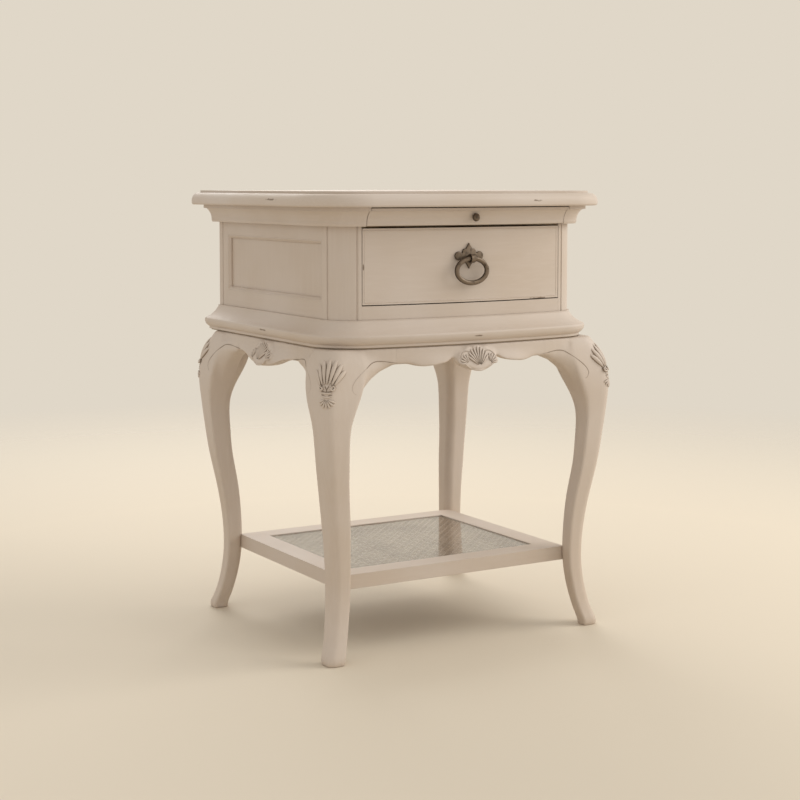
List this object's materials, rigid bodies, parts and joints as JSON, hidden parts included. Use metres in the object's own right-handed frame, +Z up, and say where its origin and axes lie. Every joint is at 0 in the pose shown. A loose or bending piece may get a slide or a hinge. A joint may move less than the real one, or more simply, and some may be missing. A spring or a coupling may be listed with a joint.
{
  "type": "nightstand",
  "caption": "Painted bow-front bedside table with a drawer, a pull-out slide, curved legs, carved shells and a low cane shelf under glass.",
  "frame": {"origin": "on the floor under the middle of the whole outline", "axes": "+X to the right seen from the front, the drawer opens towards -Y, +Z up"},
  "size_m": [0.505, 0.4567, 0.66],
  "materials": {
    "painted_wood": "satin paint with brown antiquing",
    "bare_wood": "plain sanded wood",
    "shadow_board": "dark stained wood",
    "cane": "painted woven cane",
    "clear_glass": "clear polished",
    "antique_metal": "dull antique"
  },
  "bodies": {
    "carcass": {"apron_back": "painted_wood", "apron_front": "painted_wood", "apron_left": "painted_wood", "apron_right": "painted_wood", "back_panel": "bare_wood", "base_back_rail": "painted_wood", "base_moulding": "painted_wood", "bottom_board": "bare_wood", "cane_panel": "cane", "case_runners": "bare_wood", "cornice_left": "painted_wood", "cornice_right": "painted_wood", "divider_rail": "bare_wood", "ear_front_left": "painted_wood", "ear_front_right": "painted_wood", "ear_side_back_left": "painted_wood", "ear_side_back_right": "painted_wood", "ear_side_front_left": "painted_wood", "ear_side_front_right": "painted_wood", "front_rail": "painted_wood", "knee_shell_front_left": "painted_wood", "knee_shell_front_right": "painted_wood", "knee_shells_back": "painted_wood", "leg_back_left": "painted_wood", "leg_back_right": "painted_wood", "leg_front_left": "painted_wood", "leg_front_right": "painted_wood", "post_back_left": "painted_wood", "post_back_right": "painted_wood", "post_front_left": "painted_wood", "post_front_right": "painted_wood", "shelf_glass": "clear_glass", "shelf_rail_back": "painted_wood", "shelf_rail_front": "painted_wood", "shelf_rail_left": "painted_wood", "shelf_rail_right": "painted_wood", "shell_front": "painted_wood", "shell_left": "painted_wood", "shell_right": "painted_wood", "side_moulding_left": "painted_wood", "side_moulding_right": "painted_wood", "side_panel_left": "painted_wood", "side_panel_right": "painted_wood", "side_rail_bottom_left": "painted_wood", "side_rail_bottom_right": "painted_wood", "side_rail_top_left": "painted_wood", "side_rail_top_right": "painted_wood", "spacer_board": "shadow_board", "top_panel": "painted_wood"},
    "drawer": {"drawer_front": "painted_wood", "drawer_side_left": "bare_wood", "drawer_side_right": "bare_wood", "drawer_back": "bare_wood", "drawer_bottom": "bare_wood", "pull_backplate": "antique_metal", "pull_eye": "antique_metal"},
    "slide": {"slide_front": "painted_wood", "slide_board": "painted_wood", "slide_knob": "antique_metal"},
    "ring": {"pull_ring": "antique_metal"}
  },
  "joints": [
    {"name": "drawer_slide", "type": "slide", "parent": "carcass", "child": "drawer", "axis": [0, -1, 0], "range_m": [0, 0.25]},
    {"name": "slide_pull", "type": "slide", "parent": "carcass", "child": "slide", "axis": [0, -1, 0], "range_m": [0, 0.2]},
    {"name": "ring_swing", "type": "hinge", "parent": "drawer", "child": "ring", "pos_m": [0, -0.19312, 0.5636], "axis": [-1, 0, 0], "range_deg": [0, 95]}
  ]
}
